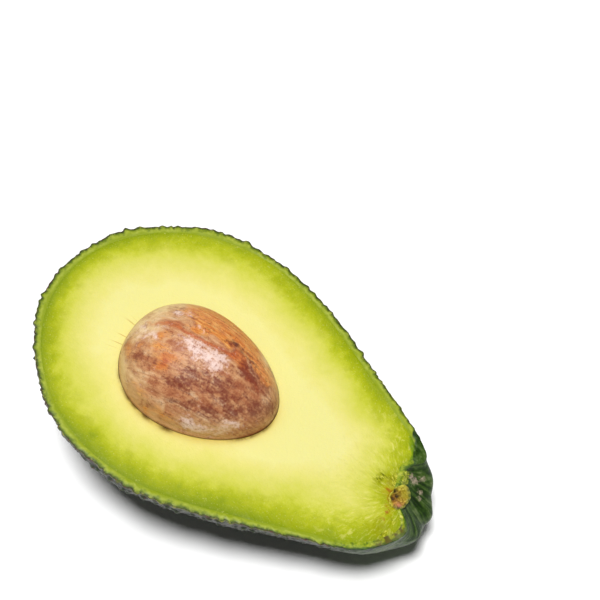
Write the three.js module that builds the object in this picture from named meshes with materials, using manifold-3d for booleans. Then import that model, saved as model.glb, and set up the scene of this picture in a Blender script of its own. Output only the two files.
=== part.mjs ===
import * as THREE from "three";
import * as BufferGeometryUtils from "three/addons/utils/BufferGeometryUtils.js";
import Module from "manifold-3d";

// Half an avocado, cut lengthwise, with its stone still in it.
// It is worked out in the fruit's own axes, in millimetres: x along the fruit toward the stem,
// y across it, and z up out of the cut face, which is the plane z = 0. One group sets it down.

// Driving dimensions of the fruit
const BLOSSOM_END_X = -50;
const STEM_END_X = 54;
const HEART = new THREE.Vector3(-8, 0, 0);
const PEEL_THICKNESS = 1.7;
const SEATING_GAP = 0.3;

// Half width along the fruit, as a round end times a curve in s, which runs from -1 at the
// blossom end to 1 at the stem: a broad belly, the taper to the neck and a blunt, full nose
const BELLY = 31.6;
const TAPER = -13.1;
const NECK = -4.4;
const SHOULDER = 8.1;
const NOSE = 5.8;
const NOSE_SLIMMING = 0.12;
const NOSE_START_X = 45;
const NOSE_LENGTH = 8;

// The knife passed a little below the middle of the belly's round section but left most of the
// nose below the cut, so the section's centre sinks from the one to the other, and swings a
// little to one side at the very end. Between them the neck is deeper than it is wide.
const BELLY_CENTRE_Z = 2.5;
const NOSE_DROP = 7.5;
const DROP_START_X = 36;
const DROP_LENGTH = 18;
const NOSE_SIDE_SHIFT = 1.4;
const SIDE_SHIFT_START_X = 42;
const SIDE_SHIFT_LENGTH = 10;
const NECK_DEEPENING = 0.13;
const NECK_START_X = 8;
const NECK_RISE_LENGTH = 28;
const NECK_END_X = 37;
const NECK_FALL_LENGTH = 10;

// The dimple that the stalk grew from, and the soft lobes that run out of it over the nose
const DIMPLE_Y = 5;
const DIMPLE_Z = 1.5;
const DIMPLE_RADIUS = 7.6;
const DIMPLE_DEPTH = 8;
const DIMPLE_FLATTENING = 1.15;
const STEM_RELIEF_START_X = 30;
const STEM_RELIEF_LENGTH = 12;
const LOBES = 8;
const LOBE_HEIGHT = 0.4;
const LOBE_START = 3;
const LOBE_RISE = 5;
const LOBE_FADE_START = 11;
const LOBE_FADE_LENGTH = 9;

// Pebbles of the skin: how far they and the ground between them stand up, and how much of
// that is left at the rim and on the nose, which is nearly smooth
const PEBBLE_LOW = 0.45;
const PEBBLE_HIGH = 0.95;
const GRAIN = 0.18;
const RIM_RELIEF = 0.55;
const NOSE_RELIEF = 0.25;
const NOSE_FADE_START_X = 38;
const NOSE_FADE_LENGTH = 8;
const SKIN_SEED = 7;

// The stone: an egg, broad end toward the blossom end, its middle in the cut plane
const STONE_CENTRE = new THREE.Vector3(-7.75, -2, 0);
const STONE_HALF_LENGTH = 19.5;
const STONE_RADIUS = 14.65;
const STONE_TAPER = 0.145;
const STONE_YAW = THREE.MathUtils.degToRad(5.3);

// The corky plug of the stalk, cut in half with the fruit
const PLUG_CENTRE = new THREE.Vector3(45.2, 1.4, 0);
const PLUG_RADII = new THREE.Vector3(2.7, 3, 2.8);
const PLUG_ROUGHNESS = 0.5;
const PLUG_SINK = 0.6;
const PLUG_SEED = 23;
const SEAT_OVERCUT = 0.2;

// How it lies: the stem end tips down until the flat spot is under the weight
const REST_PITCH = THREE.MathUtils.degToRad(10);
const REST_FLAT_DEPTH = 0.6;

// Cells along one side of each surface's grid
const SKIN_CELLS = 66;
const LINING_CELLS = 30;
const STONE_CELLS = 18;
const PLUG_CELLS = 8;

// How finely the skin is looked for along a ray
const FARTHEST_SKIN = 90;
const HALVINGS = 40;
const SLOPE_STEP = 0.05;
const LEAST_SQUARENESS = 0.6;

const clamp = THREE.MathUtils.clamp;

// A ramp from 0 to 1 with level ends
function ramp(value, start, length) {
  const t = clamp((value - start) / length, 0, 1);
  return t * t * (3 - 2 * t);
}

// A repeatable stream of numbers from 0 to 1
function randomStream(seed) {
  let state = seed;
  return () => {
    state = (Math.imul(state, 1664525) + 1013904223) >>> 0;
    return state / 2 ** 32;
  };
}

function halfWidth(x) {
  const s = (2 * x - BLOSSOM_END_X - STEM_END_X) / (STEM_END_X - BLOSSOM_END_X);
  const round = Math.sqrt(Math.max(0, 1 - s * s)) * (1 - NOSE_SLIMMING * ramp(x, NOSE_START_X, NOSE_LENGTH));
  return round * (BELLY + s * (TAPER + s * (NECK + s * (SHOULDER + s * NOSE))));
}

// Below 0 inside the whole fruit and above 0 outside it
function fruitField(point) {
  if (point.x <= BLOSSOM_END_X || point.x >= STEM_END_X) return 1;
  const centreY = NOSE_SIDE_SHIFT * ramp(point.x, SIDE_SHIFT_START_X, SIDE_SHIFT_LENGTH);
  const centreZ = BELLY_CENTRE_Z - NOSE_DROP * ramp(point.x, DROP_START_X, DROP_LENGTH);
  const neckEnd = 1 - ramp(point.x, NECK_END_X, NECK_FALL_LENGTH);
  const depth = 1 + NECK_DEEPENING * ramp(point.x, NECK_START_X, NECK_RISE_LENGTH) * neckEnd;
  const reach = Math.hypot(point.y - centreY, (point.z - centreZ) / depth);
  return reach / Math.max(halfWidth(point.x), 1e-3) - 1;
}

const along = (direction, distance) => HEART.clone().addScaledVector(direction, distance);

// Distance from the heart to the plain skin in one direction, by halving
function plainRadius(direction) {
  let low = 0;
  let high = FARTHEST_SKIN;
  for (let step = 0; step < HALVINGS; step += 1) {
    const middle = (low + high) / 2;
    if (fruitField(along(direction, middle)) < 0) low = middle;
    else high = middle;
  }
  return low;
}

// How squarely a ray from the heart meets the skin: 1 straight through, less at a slant
function squareness(direction, point) {
  const slope = new THREE.Vector3();
  for (const axis of ["x", "y", "z"]) {
    const ahead = point.clone();
    const behind = point.clone();
    ahead[axis] += SLOPE_STEP;
    behind[axis] -= SLOPE_STEP;
    slope[axis] = fruitField(ahead) - fruitField(behind);
  }
  return Math.max(LEAST_SQUARENESS, Math.abs(slope.normalize().dot(direction)));
}

// Inward at the dimple, and in and out over the lobes round it
function stemEndRelief(point) {
  const across = point.y - DIMPLE_Y;
  const up = point.z - DIMPLE_Z;
  const reach = Math.hypot(across, up);
  const hollow = Math.hypot(across, DIMPLE_FLATTENING * up) / DIMPLE_RADIUS;
  const lobeFade = ramp(reach, LOBE_START, LOBE_RISE) * (1 - ramp(reach, LOBE_FADE_START, LOBE_FADE_LENGTH));
  const lobes = LOBE_HEIGHT * Math.cos(LOBES * Math.atan2(up, across)) * lobeFade;
  const dimple = DIMPLE_DEPTH * Math.exp(-(hollow ** 4));
  return (lobes - dimple) * ramp(point.x, STEM_RELIEF_START_X, STEM_RELIEF_LENGTH);
}

// Distance from the heart to a surface that lies a given depth under the skin
function surfaceRadius(direction, depth) {
  const radius = plainRadius(direction);
  const point = along(direction, radius);
  return radius + stemEndRelief(point) - depth / squareness(direction, point);
}

// A square with corners at -1 and 1, drawn out evenly to the unit disc
function squareToDisc(a, b) {
  if (a === 0 && b === 0) return [0, 0];
  const wide = Math.abs(a) > Math.abs(b);
  const radius = wide ? a : b;
  const angle = wide ? (Math.PI / 4) * (b / a) : Math.PI / 2 - (Math.PI / 4) * (a / b);
  return [radius * Math.cos(angle), radius * Math.sin(angle)];
}

// The disc folded down over the lower half of the unit sphere, its edge level at z = 0
function discToBowl([u, v]) {
  const reach = Math.min(1, Math.hypot(u, v));
  const spread = reach > 0 ? Math.sin((reach * Math.PI) / 2) / reach : Math.PI / 2;
  const level = reach > 1 - 1e-9 ? 0 : -Math.cos((reach * Math.PI) / 2);
  return new THREE.Vector3(u * spread, v * spread, level);
}

const BOWL_CENTRE_X = (BLOSSOM_END_X + STEM_END_X) / 2;
const BOWL_SIZE = new THREE.Vector3((STEM_END_X - BLOSSOM_END_X) / 2, BELLY, BELLY);

// Direction from the heart for one place on the disc, spread evenly over the half fruit
function fruitDirection(place) {
  const spot = discToBowl(place).multiply(BOWL_SIZE);
  spot.x += BOWL_CENTRE_X;
  return spot.sub(HEART).normalize();
}

// A mesh being built: its points, and triangles that index them
function emptyMesh() {
  return { points: [], triangles: [] };
}

// Adds a square grid of points and its triangles, and gives back its rim, counted
// anticlockwise seen from above. facing is 1 for faces that look up, -1 for down. A rim that
// another grid already has is used again.
function addGrid(mesh, cells, facing, pointAt, sharedRim) {
  const side = cells + 1;
  const number = (i, j) => i * side + j;
  const rimPlaces = [];
  for (let k = 0; k < cells; k += 1) rimPlaces.push([k, 0]);
  for (let k = 0; k < cells; k += 1) rimPlaces.push([cells, k]);
  for (let k = cells; k > 0; k -= 1) rimPlaces.push([k, cells]);
  for (let k = cells; k > 0; k -= 1) rimPlaces.push([0, k]);
  const index = new Map();
  if (sharedRim) rimPlaces.forEach(([i, j], k) => index.set(number(i, j), sharedRim[k]));
  for (let i = 0; i < side; i += 1) {
    for (let j = 0; j < side; j += 1) {
      if (index.has(number(i, j))) continue;
      index.set(number(i, j), mesh.points.length);
      const onRim = i % cells === 0 || j % cells === 0;
      mesh.points.push(pointAt(squareToDisc((2 * i) / cells - 1, (2 * j) / cells - 1), i, j, onRim));
    }
  }
  for (let i = 0; i < cells; i += 1) {
    for (let j = 0; j < cells; j += 1) {
      const [a, b] = [index.get(number(i, j)), index.get(number(i + 1, j))];
      const [c, d] = [index.get(number(i + 1, j + 1)), index.get(number(i, j + 1))];
      if (facing > 0) mesh.triangles.push([a, b, c], [a, c, d]);
      else mesh.triangles.push([a, c, b], [a, d, c]);
    }
  }
  return rimPlaces.map(([i, j]) => index.get(number(i, j)));
}

// Joins two rims with a level ring of triangles that face up
function addRing(mesh, outer, inner) {
  let i = 0;
  let j = 0;
  while (i < outer.length || j < inner.length) {
    const a = outer[i % outer.length];
    const b = inner[j % inner.length];
    if ((i + 1) * inner.length <= (j + 1) * outer.length) {
      mesh.triangles.push([a, outer[(i + 1) % outer.length], b]);
      i += 1;
    } else {
      mesh.triangles.push([a, inner[(j + 1) % inner.length], b]);
      j += 1;
    }
  }
}

// The plane that it rests on, in the fruit's own axes
const down = new THREE.Vector3(Math.sin(REST_PITCH), 0, -Math.cos(REST_PITCH));
const lowest = new THREE.Vector3();
addGrid(emptyMesh(), SKIN_CELLS, -1, (place) => {
  const direction = fruitDirection(place);
  const point = along(direction, surfaceRadius(direction, 0));
  if (point.dot(down) > lowest.dot(down)) lowest.copy(point);
  return point;
});
const restPoint = lowest.clone().addScaledVector(down, -REST_FLAT_DEPTH);

// Skin: every other point of every other row of the grid stands up as a pebble, in staggered
// rows and to random heights, lower toward the nose and the cut, and none is on the flat spot
const skinRandom = randomStream(SKIN_SEED);
function skinPoint(place, i, j, onRim) {
  const direction = fruitDirection(place);
  const radius = surfaceRadius(direction, 0);
  const plain = along(direction, radius);
  const isPebble = j % 2 === 0 && (i + j / 2) % 2 === 0;
  const draw = skinRandom();
  const height = isPebble ? PEBBLE_LOW + (PEBBLE_HIGH - PEBBLE_LOW) * draw : GRAIN * draw;
  const noseFade = 1 - (1 - NOSE_RELIEF) * ramp(plain.x, NOSE_FADE_START_X, NOSE_FADE_LENGTH);
  const fade = onRim ? noseFade * RIM_RELIEF : noseFade;
  const restDepth = plain.clone().sub(restPoint).dot(down);
  const point = restDepth > 0 ? plain : along(direction, radius + height * fade);
  const overshoot = point.clone().sub(restPoint).dot(down);
  return overshoot > 0 ? point.addScaledVector(down, -overshoot) : point;
}

const liningPoint = (depth) => (place) => {
  const direction = fruitDirection(place);
  return along(direction, surfaceRadius(direction, depth));
};

// A point of the stone's egg, grown by a given gap: the unit sphere drawn out lengthwise and
// narrowed toward the stem end
function stonePoint(onSphere, gap) {
  const girth = (STONE_RADIUS + gap) * (1 - STONE_TAPER * onSphere.x);
  const point = new THREE.Vector3(
    (STONE_HALF_LENGTH + gap) * onSphere.x,
    girth * onSphere.y,
    girth * onSphere.z,
  );
  return point.applyAxisAngle(new THREE.Vector3(0, 0, 1), STONE_YAW).add(STONE_CENTRE);
}

function peelMesh() {
  const mesh = emptyMesh();
  const outer = addGrid(mesh, SKIN_CELLS, -1, skinPoint);
  const inner = addGrid(mesh, LINING_CELLS, 1, liningPoint(PEEL_THICKNESS));
  addRing(mesh, outer, inner);
  return mesh;
}

function fleshMesh() {
  const mesh = emptyMesh();
  const outer = addGrid(mesh, LINING_CELLS, -1, liningPoint(PEEL_THICKNESS + SEATING_GAP));
  const cavity = addGrid(mesh, STONE_CELLS, 1, (place) => stonePoint(discToBowl(place), SEATING_GAP));
  addRing(mesh, outer, cavity);
  return mesh;
}

function stoneMesh() {
  const mesh = emptyMesh();
  const rim = addGrid(mesh, STONE_CELLS, -1, (place) => stonePoint(discToBowl(place), 0));
  const upper = (place) => stonePoint(discToBowl(place).multiply(new THREE.Vector3(1, 1, -1)), 0);
  addGrid(mesh, STONE_CELLS, 1, upper, rim);
  return mesh;
}

// A half ball with a round underside: its top is at a height over the cut plane, and rough
function plugMesh(radii, height, roughness) {
  const mesh = emptyMesh();
  const centre = PLUG_CENTRE.clone().setZ(height);
  const random = randomStream(PLUG_SEED);
  const under = (place) => discToBowl(place).multiply(radii).add(centre);
  const top = ([u, v]) => {
    const point = new THREE.Vector3(u, v, 0).multiply(radii).add(centre);
    return point.setZ(height + roughness * (random() - PLUG_SINK));
  };
  const rim = addGrid(mesh, PLUG_CELLS, -1, under);
  addGrid(mesh, PLUG_CELLS, 1, top, rim);
  return mesh;
}

function toGeometry(mesh) {
  const geometry = new THREE.BufferGeometry();
  const positions = mesh.points.flatMap((point) => point.toArray());
  geometry.setAttribute("position", new THREE.Float32BufferAttribute(positions, 3));
  geometry.setIndex(mesh.triangles.flat());
  return geometry;
}

const wasm = await Module();
wasm.setup();

function toSolid(geometry) {
  const merged = BufferGeometryUtils.mergeVertices(geometry);
  const vertProperties = merged.attributes.position.array;
  const triVerts = Uint32Array.from(merged.index.array);
  return new wasm.Manifold(new wasm.Mesh({ numProp: 3, vertProperties, triVerts }));
}

// What is left of a mesh once the plug's seat is cut out of it, from just over the cut face
const seatRadii = PLUG_RADII.clone().addScalar(SEATING_GAP);
seatRadii.z += SEAT_OVERCUT;
const plugSeat = toSolid(toGeometry(plugMesh(seatRadii, SEAT_OVERCUT, 0)));
function withPlugSeat(mesh) {
  const cut = toSolid(toGeometry(mesh)).subtract(plugSeat).getMesh();
  const geometry = new THREE.BufferGeometry();
  geometry.setAttribute("position", new THREE.BufferAttribute(cut.vertProperties, 3));
  geometry.setIndex(new THREE.BufferAttribute(cut.triVerts, 1));
  return geometry;
}

function part(name, geometry, colour, roughness) {
  const material = new THREE.MeshStandardMaterial({ color: colour, roughness, metalness: 0 });
  geometry.computeVertexNormals();
  const mesh = new THREE.Mesh(geometry, material);
  mesh.name = name;
  return mesh;
}

// Set down: turned about the rest point, which comes to lie at the origin
const group = new THREE.Group();
group.rotation.y = REST_PITCH;
group.position.copy(restPoint).applyEuler(group.rotation).negate();
group.add(part("peel", withPlugSeat(peelMesh()), 0x2b3a1a, 0.45));
group.add(part("flesh", withPlugSeat(fleshMesh()), 0xe2de74, 0.4));
group.add(part("stone", toGeometry(stoneMesh()), 0xa0643c, 0.5));
group.add(part("stem_plug", toGeometry(plugMesh(PLUG_RADII, 0, PLUG_ROUGHNESS)), 0x70491f, 0.9));

export default group;
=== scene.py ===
import bpy
import numpy as np
from mathutils import Matrix, Vector


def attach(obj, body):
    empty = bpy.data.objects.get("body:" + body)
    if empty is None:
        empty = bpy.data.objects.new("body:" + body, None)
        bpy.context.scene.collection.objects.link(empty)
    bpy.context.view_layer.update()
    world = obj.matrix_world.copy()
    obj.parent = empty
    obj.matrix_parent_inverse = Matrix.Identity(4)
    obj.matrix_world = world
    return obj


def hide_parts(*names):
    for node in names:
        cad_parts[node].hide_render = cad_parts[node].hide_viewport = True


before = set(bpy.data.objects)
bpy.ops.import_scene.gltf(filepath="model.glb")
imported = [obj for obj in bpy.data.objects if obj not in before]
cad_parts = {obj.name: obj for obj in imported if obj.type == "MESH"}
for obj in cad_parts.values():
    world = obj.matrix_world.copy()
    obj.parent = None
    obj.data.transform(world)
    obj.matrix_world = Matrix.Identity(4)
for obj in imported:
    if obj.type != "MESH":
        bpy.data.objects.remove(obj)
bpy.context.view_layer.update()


# Peel: the thin leathery skin of the avocado, grown in pebbles and cut through by the knife, so
# that its dark outside and its yellow-green edge both show. It is made of one sheet: the skin
# outside, the cut edge, and the lining that the flesh has grown onto.

# Sizes are in millimetres on the fruit's own axes: x runs to the stem end, and the cut is at z = 0
blossom_end, stem_end, belly, peel_thickness = -50.0, 54.0, 31.6, 1.7
half_length, mid_length = (stem_end - blossom_end) / 2, (stem_end + blossom_end) / 2
heart, farthest_skin, halvings, probe = np.array([-8.0, 0.0, 0.0]), 90.0, 34, 0.05
skin_cells, lining_cells, edge_rows = 280, 70, 8


def ramp(value, start, length):
    """From 0 to 1 as value passes from start to start + length, level at both ends."""
    t = np.clip((value - start) / length, 0, 1)
    return t * t * (3 - 2 * t)


def half_width(x):
    """A half circle times a curve of the fourth power: broad belly, narrow neck, full nose."""
    s = (x - mid_length) / half_length
    curve = belly + s * (-13.1 + s * (-4.4 + s * (8.1 + s * 5.8)))
    return np.sqrt(np.maximum(0, 1 - s * s)) * (1 - 0.12 * ramp(x, 45, 8)) * curve


def beyond_skin(point):
    """Distance from the fruit's middle line over the half width there, less 1. The line bends
    down and a little aside toward the stem end, and the neck is somewhat deeper than it is wide."""
    x, y, z = point[..., 0], point[..., 1], point[..., 2]
    y = y - 1.4 * ramp(x, 42, 10)
    z = z - 2.5 + 7.5 * ramp(x, 36, 18)
    depth = 1 + 0.13 * ramp(x, 8, 28) * (1 - ramp(x, 37, 10))
    reach = np.hypot(y, z / depth) / np.maximum(half_width(x), 1e-3) - 1
    return np.where((x <= blossom_end) | (x >= stem_end), 1.0, reach)


def stem_end_relief(point):
    """Eight cosine lobes that fade in and out again, less a rounded dimple, at the stem end."""
    across, up = point[..., 1] - 5, point[..., 2] - 1.5
    reach = np.hypot(across, up)
    lobes = 0.4 * np.cos(8 * np.arctan2(up, across)) * ramp(reach, 3, 5) * (1 - ramp(reach, 11, 9))
    dimple = 8 * np.exp(-(np.hypot(across, 1.15 * up) / 7.6) ** 4)
    return (lobes - dimple) * ramp(point[..., 0], 30, 12)


def fruit_surface(direction, depth=0.0):
    """The point that lies a given depth under the plain skin, seen from the heart in each
    direction: the skin is found by halving, and the depth is drawn out where it is met aslant."""
    low = np.zeros(direction.shape[:-1])
    high = np.full_like(low, farthest_skin)
    for _ in range(halvings):
        middle = (low + high) / 2
        inside = beyond_skin(heart + direction * middle[..., None]) < 0
        low, high = np.where(inside, middle, low), np.where(inside, high, middle)
    point = heart + direction * low[..., None]
    slope = np.stack([beyond_skin(point + s) - beyond_skin(point - s) for s in probe * np.eye(3)], -1)
    slope /= np.linalg.norm(slope, axis=-1, keepdims=True)
    squareness = np.maximum(0.6, np.abs((slope * direction).sum(-1)))
    return heart + direction * (low + stem_end_relief(point) - depth / squareness)[..., None]


def square(cells):
    """The places of a square grid of points, from -1 to 1 each way."""
    t = np.linspace(-1, 1, cells + 1)
    return np.meshgrid(t, t, indexing="ij")


def bowl(a, b):
    """A square from -1 to 1 drawn out evenly to a disc, then folded down over the lower half of
    the unit sphere, with its edge level at z = 0."""
    wide = np.abs(a) > np.abs(b)
    radius = np.where(wide, a, b)
    other = np.where(wide, b, a)
    turn = np.pi / 4 * other / np.where(radius == 0, 1, radius)
    angle = np.where(wide, turn, np.pi / 2 - turn)
    reach = np.abs(radius)
    spread = np.sin(reach * np.pi / 2) * np.sign(radius)
    level = np.where(reach > 1 - 1e-9, 0, -np.cos(reach * np.pi / 2))
    return np.stack([spread * np.cos(angle), spread * np.sin(angle), level], -1)


def from_heart(a, b):
    """Direction from the heart for a place in the square, spread evenly over the half fruit."""
    spot = bowl(a, b) * [half_length, belly, belly] + [mid_length, 0, 0] - heart
    return spot / np.linalg.norm(spot, axis=-1, keepdims=True)


def drift(points, reach, seed, waves=18):
    """Smooth random values, mostly from -2 to 2, a given reach across: sine waves of random way
    and phase, added up and divided by 3."""
    random = np.random.default_rng(seed)
    ways = random.normal(size=(points.shape[-1], waves)) * 2.6 / reach
    return np.sin(points @ ways + random.uniform(0, 2 * np.pi, waves)).sum(-1) / 3


a, b = square(skin_cells)
plain = fruit_surface(from_heart(a, b))

# Pebbles: one seed in each cell of an uneven lattice. A pebble rises from the line where two
# seeds are equally near, to a height of its own, and the skin between them stays low.
random = np.random.default_rng(11)
lattice, astray, too_far = np.array([54, 42]), 0.42, 99.0
lowest, tallest, full_height, small_share, small_height = 0.24, 0.76, 0.78, 0.2, 0.35
flank, round_off, round_reach = 1.7, 0.14, 2.4
cell_a, cell_b = np.meshgrid(*[np.arange(n) for n in lattice], indexing="ij")
seed_a = ((cell_a + 0.5 + random.uniform(-astray, astray, cell_a.shape)) / lattice[0]) * 2 - 1
seed_b = ((cell_b + 0.5 + random.uniform(-astray, astray, cell_b.shape)) / lattice[1]) * 2 - 1
seeds = fruit_surface(from_heart(seed_a, seed_b))
seed_height = random.uniform(lowest, tallest, cell_a.shape)
seed_height *= np.where(random.random(cell_a.shape) < small_share, small_height, 1)
home_a = np.minimum((a + 1) / 2 * lattice[0], lattice[0] - 1).astype(int)
home_b = np.minimum((b + 1) / 2 * lattice[1], lattice[1] - 1).astype(int)
distances, heights = [], []
for step_a in (-1, 0, 1):
    for step_b in (-1, 0, 1):
        next_a, next_b = home_a + step_a, home_b + step_b
        real = (next_a >= 0) & (next_a < lattice[0]) & (next_b >= 0) & (next_b < lattice[1])
        cell = np.clip(next_a, 0, lattice[0] - 1), np.clip(next_b, 0, lattice[1] - 1)
        distances.append(np.where(real, np.linalg.norm(plain - seeds[cell], axis=-1), too_far))
        heights.append(seed_height[cell])
distances, heights = np.array(distances), np.array(heights)
nearest, second = np.sort(distances, 0)[:2]
height = np.take_along_axis(heights, distances.argmin(0)[None], 0)[0]
pebble = ramp(second - nearest, 0.0, flank) * (1 - round_off * np.minimum(nearest, round_reach))
smooth_nose = ramp(plain[..., 0], 36, 10)
swell = 0.15 * drift(plain, 9, 2) + 0.08 * drift(plain, 3, 3) + 0.03 * drift(plain, 1.1, 12)
rise = np.maximum(height * pebble, 0) * (1 - 0.8 * smooth_nose) + swell * (1 - 0.6 * smooth_nose)
outward = plain - heart
outward /= np.linalg.norm(outward, axis=-1, keepdims=True)
skin = plain + outward * rise[..., None]
skin[..., 2] = np.minimum(skin[..., 2], 0.0)


def numbered(points, start=0):
    """The point numbers of a grid of points, row by row."""
    return start + np.arange(points[..., 0].size).reshape(points.shape[:2])


def edge_of(numbers):
    """Point numbers round the edge of a square grid, anticlockwise from above."""
    return np.concatenate([numbers[:-1, 0], numbers[-1, :-1], numbers[:0:-1, -1], numbers[0, :0:-1]])


def square_faces(numbers):
    """Quads of a grid of point numbers, facing up where the first index runs along x."""
    n = numbers
    return np.stack([n[:-1, :-1], n[1:, :-1], n[1:, 1:], n[:-1, 1:]], -1).reshape(-1, 4)


def band_faces(rows):
    """Quads between rows of point numbers that each close on themselves."""
    return square_faces(np.concatenate([rows, rows[:, :1]], 1).T)


# The cut edge, from the skin to the lining: a low wet ridge runs along it, nearer the flesh. The
# lining has a quarter as many points round its edge, so four steps of the cut meet one of its own.
lining = fruit_surface(from_heart(*square(lining_cells)), peel_thickness)
skin_numbers = numbered(skin)
outer = edge_of(skin_numbers)
outer_points = skin.reshape(-1, 3)[outer]
inner_points = fruit_surface(from_heart(a, b).reshape(-1, 3)[outer], peel_thickness)
share = np.linspace(0, 1, edge_rows + 1)[1:, None]
edge = outer_points + (inner_points - outer_points) * share[..., None]
knobs = 0.7 * drift(edge, 4.0, 4) + 0.5 * drift(edge, 1.5, 5)
torn_nose = ramp(edge[..., 0], 38, 8)
edge[..., 2] += np.sin(np.pi * share**1.3) ** 2 * (0.04 + 0.03 * knobs * (1 + 2.5 * torn_nose))
edge_numbers = numbered(edge, skin_numbers.size)
lining_numbers = numbered(lining, skin_numbers.size + edge_numbers.size)
rim = edge_of(lining_numbers)
last = edge_numbers[-1].reshape(-1, 4)
after = np.roll(edge_numbers[-1], -1).reshape(-1, 4)
step = np.repeat(np.stack([rim, np.roll(rim, -1)], 1), 2, 1)
fans = np.stack([last, after, step], -1).reshape(-1, 3)
steps = np.stack([last[:, 2], np.roll(rim, -1), rim], 1)
peel_faces = [
    square_faces(skin_numbers)[:, ::-1],
    band_faces(np.concatenate([outer[None], edge_numbers])),
    fans, steps,
    square_faces(lining_numbers),
]

# At the nose the peel meets the stalk's plug, and on the neck's far side its skin rolls in over the cut
plug_middle, plug_half_width, seat_depth, seat_reach = np.array([45.2, 1.4]), np.array([2.1, 2.7]), 2.75, 1.04
roll_line, roll_way, roll_drop = np.array([41.7, 12.0]), np.array([0.88, 0.475]), 1.7


def plug_reach(point):
    """Distance from the middle of the stalk's plug, over the uneven reach of its outline."""
    level = point[..., :2]
    from_middle = (level - plug_middle) / plug_half_width
    uneven = 1 + 0.045 * drift(level, 2.2, 9) + 0.03 * drift(level, 0.9, 10)
    return np.hypot(from_middle[..., 0], from_middle[..., 1]) * uneven


def rolled_in(point):
    """How far a point stands over the line, on the neck's far side, where the skin rolls in over
    the cut: its distance past the line, made uneven, and far short of it on the near side."""
    past = (point[..., :2] - roll_line) @ roll_way + 0.25 * drift(point[..., :2], 1.2, 40)
    return past - 9 * (1 - ramp(point[..., 1], 6.5, 2.5))


def seated(point):
    """Whatever stands over the stalk's seat, a bowl around the plug, is lowered, and so is the
    skin that rolls in at the neck."""
    seat = -seat_depth * np.sqrt(np.maximum(0, 1 - (plug_reach(point) / seat_reach) ** 2))
    point = point.copy()
    point[..., 2] = np.where(seat < 0, np.minimum(point[..., 2], seat), point[..., 2])
    point[..., 2] = np.minimum(point[..., 2], 1 - roll_drop * ramp(rolled_in(point), -1.5, 5))
    return point


def near(points, *spots):
    """Soft round spots, each the three numbers of its centre and its reach, of which the strongest
    counts: a bell curve of the distance over the reach."""
    return np.max([np.exp(-((points - spot[:3]) ** 2).sum(-1) / spot[3] ** 2) for spot in spots], 0)


peel_points = seated(np.concatenate([skin.reshape(-1, 3), edge.reshape(-1, 3), lining.reshape(-1, 3)]))
px, py, pz = peel_points.T
cut_depth = np.concatenate([
    np.full(skin_numbers.size, -1.0),
    np.linalg.norm(edge - outer_points, axis=-1).ravel(),
    np.full(lining_numbers.size, 3.0),
])
# The pebbles' height, kept so that their tops are painted lighter and the skin between them darker: painted light
# and shade
pebble_shading_tone = np.zeros(len(peel_points))
pebble_shading_tone[:skin_numbers.size] = (pebble * height / full_height).ravel()
nose_tone = ramp(px, 35, 11)
scar_tone = near(
    peel_points, (44.6, 7.5, -1.3, 0.9), (45.8, 7.5, -2.2, 1.1), (47.0, 9.2, -2.7, 0.9),
    (48.2, 6.6, -3.8, 0.8), (48.7, 5.2, -3.9, 0.7),
)
bared_tone = near(
    peel_points, (43.7, 6.8, -0.2, 1.3), (44.2, 5.6, -0.4, 1.4), (44.7, 4.6, -0.6, 1.0), (48.0, -2.6, 0, 0.9),
)
from_dimple = peel_points - [0, 5, 1.5]
streak = np.stack([
    np.arctan2(from_dimple[:, 2], from_dimple[:, 1]) * 6,
    np.hypot(from_dimple[:, 1], from_dimple[:, 2]) * 0.22,
    px * 0.02,
], 1)
peel_tones = {
    "cut_depth": cut_depth, "pebble": pebble_shading_tone, "nose": nose_tone, "scar": scar_tone, "streak": streak,
    "browned": ramp(px, 45.5, 2) * ramp(-py, 2.5, 2.5) * (1 - ramp(-py, 11, 5)),
    "rolled_in": rolled_in(peel_points), "bared": bared_tone,
    "lip": 0.85 * ramp(pz, -1.5, 1.3) * (1 - nose_tone),
}


def srgb(*colour):
    """A colour as seen, 0 to 255, to the linear one that a shader takes."""
    c = np.array(colour) / 255
    return (*np.where(c <= 0.04045, c / 12.92, ((c + 0.055) / 1.055) ** 2.4), 1.0)


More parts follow.
